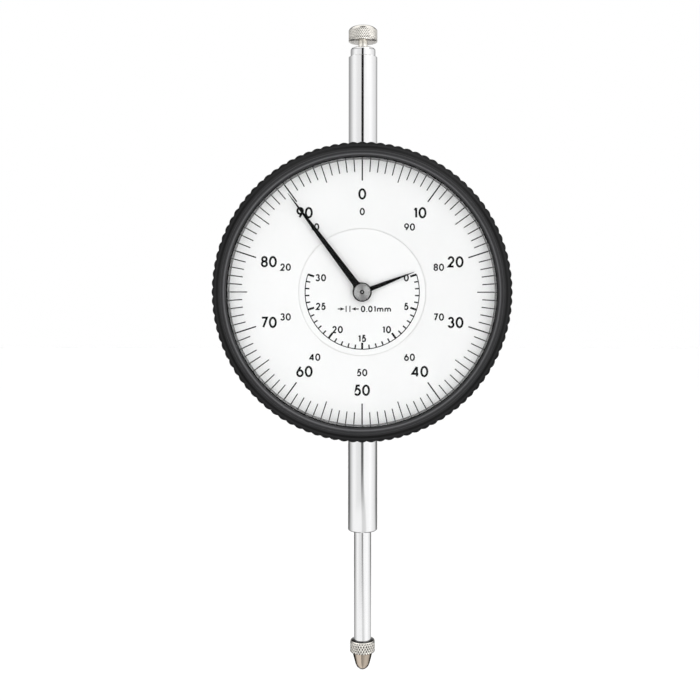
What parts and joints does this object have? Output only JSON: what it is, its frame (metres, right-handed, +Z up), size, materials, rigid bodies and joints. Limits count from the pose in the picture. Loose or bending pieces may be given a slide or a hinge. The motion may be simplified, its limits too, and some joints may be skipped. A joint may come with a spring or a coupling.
{
  "type": "dial indicator",
  "caption": "Large-dial plunger indicator with a rotating bezel, a pointer and a coaxial turn counter driven from a rack on the spindle.",
  "frame": {"origin": "middle of the clamping stem's plain wall, on its axis", "axes": "+Z up the spindle from the contact point to the lifting knob, the dial faces -Y, +X to the right as the dial is read"},
  "size_m": [0.078, 0.0398, 0.1761],
  "materials": {
    "case_paint": "satin black paint",
    "bezel_plastic": "satin black",
    "ground_steel": "fine ground and polished",
    "steel": "satin",
    "nickel": "nickel plated, knurled",
    "aluminium": "cast, satin",
    "brass": "satin",
    "bronze": "sintered",
    "rubber": "matt",
    "ruby": "polished",
    "crystal": "clear, polished",
    "dial_enamel": "white enamel",
    "hand_black": "satin black",
    "spring_steel": "drawn wire",
    "hub_metal": "turned"
  },
  "bodies": {
    "housing": {"case": "case_paint", "stem": "ground_steel", "stem_bush": "bronze", "upper_sleeve": "ground_steel", "upper_bush": "bronze", "sleeve_cap": "ground_steel", "stop_buffer": "rubber", "back_cover": "aluminium", "cover_gasket": "rubber", "cover_screws": "steel", "bezel_wire": "spring_steel", "bezel_seal": "rubber", "main_plate": "brass", "main_plate_screws": "steel", "front_plate": "brass", "front_pillars": "steel", "front_plate_screws": "steel", "rear_bridge": "brass", "rear_pillars": "steel", "rear_bridge_screws": "steel", "bearing_jewels": "ruby", "centre_tube": "steel", "counter_dial": "dial_enamel", "guide_rail": "steel", "guide_rail_screws": "steel", "spring_post": "steel", "return_spring": "spring_steel", "hairspring_stud": "steel", "hairspring": "spring_steel"},
    "plunger": {"spindle": "ground_steel", "stop_collar": "steel", "guide_pin": "steel", "lifting_rod": "steel", "lifting_knob": "nickel", "contact_point": "nickel", "contact_ball": "ground_steel"},
    "first_arbor": {"rack_pinion": "steel", "first_wheel": "brass", "counter_pinion": "brass"},
    "main_hand": {"centre_pinion": "steel", "pointer": "hand_black", "pointer_hub": "hub_metal"},
    "turn_counter": {"counter_pipe": "steel", "counter_wheel": "brass", "counter_hand": "hand_black"},
    "takeup": {"takeup_arbor": "steel", "takeup_wheel": "brass", "hairspring_collet": "brass"},
    "bezel_unit": {"bezel": "bezel_plastic", "crystal_gasket": "rubber", "crystal": "crystal", "spacer_ring": "bezel_plastic", "dial_face": "dial_enamel", "snap_ring": "spring_steel"}
  },
  "joints": [
    {"name": "spindle_slide", "type": "slide", "parent": "housing", "child": "plunger", "axis": [0, 0, 1], "range_m": [0, 0.03], "stiffness_N_per_m": 30, "springref_m": -0.03, "deforming": ["return_spring"]},
    {"name": "pointer_turn", "type": "hinge", "parent": "housing", "child": "main_hand", "pos_m": [0, 0, 0.0515], "axis": [0, 1, 0], "range_deg": [0, 10821.6]},
    {"name": "first_arbor_turn", "type": "hinge", "parent": "housing", "child": "first_arbor", "pos_m": [-0.00349, 0, 0.06193], "axis": [0, 1, 0], "range_deg": [-1082.16, 0]},
    {"name": "counter_turn", "type": "hinge", "parent": "housing", "child": "turn_counter", "pos_m": [0, 0, 0.0515], "axis": [0, 1, 0], "range_deg": [0, 216.43]},
    {"name": "takeup_turn", "type": "hinge", "parent": "housing", "child": "takeup", "pos_m": [0.00349, 0, 0.04107], "axis": [0, 1, 0], "range_deg": [-1082.16, 0], "deforming": ["hairspring"]},
    {"name": "bezel_turn", "type": "hinge", "parent": "housing", "child": "bezel_unit", "pos_m": [0, 0, 0.0515], "axis": [0, 1, 0], "continuous": true}
  ],
  "couplings": [
    {"joint": "pointer_turn", "follows": "spindle_slide", "rad_per_m": 6283.2},
    {"joint": "first_arbor_turn", "follows": "spindle_slide", "rad_per_m": -628.32},
    {"joint": "counter_turn", "follows": "spindle_slide", "rad_per_m": 125.66},
    {"joint": "takeup_turn", "follows": "spindle_slide", "rad_per_m": -628.32}
  ]
}
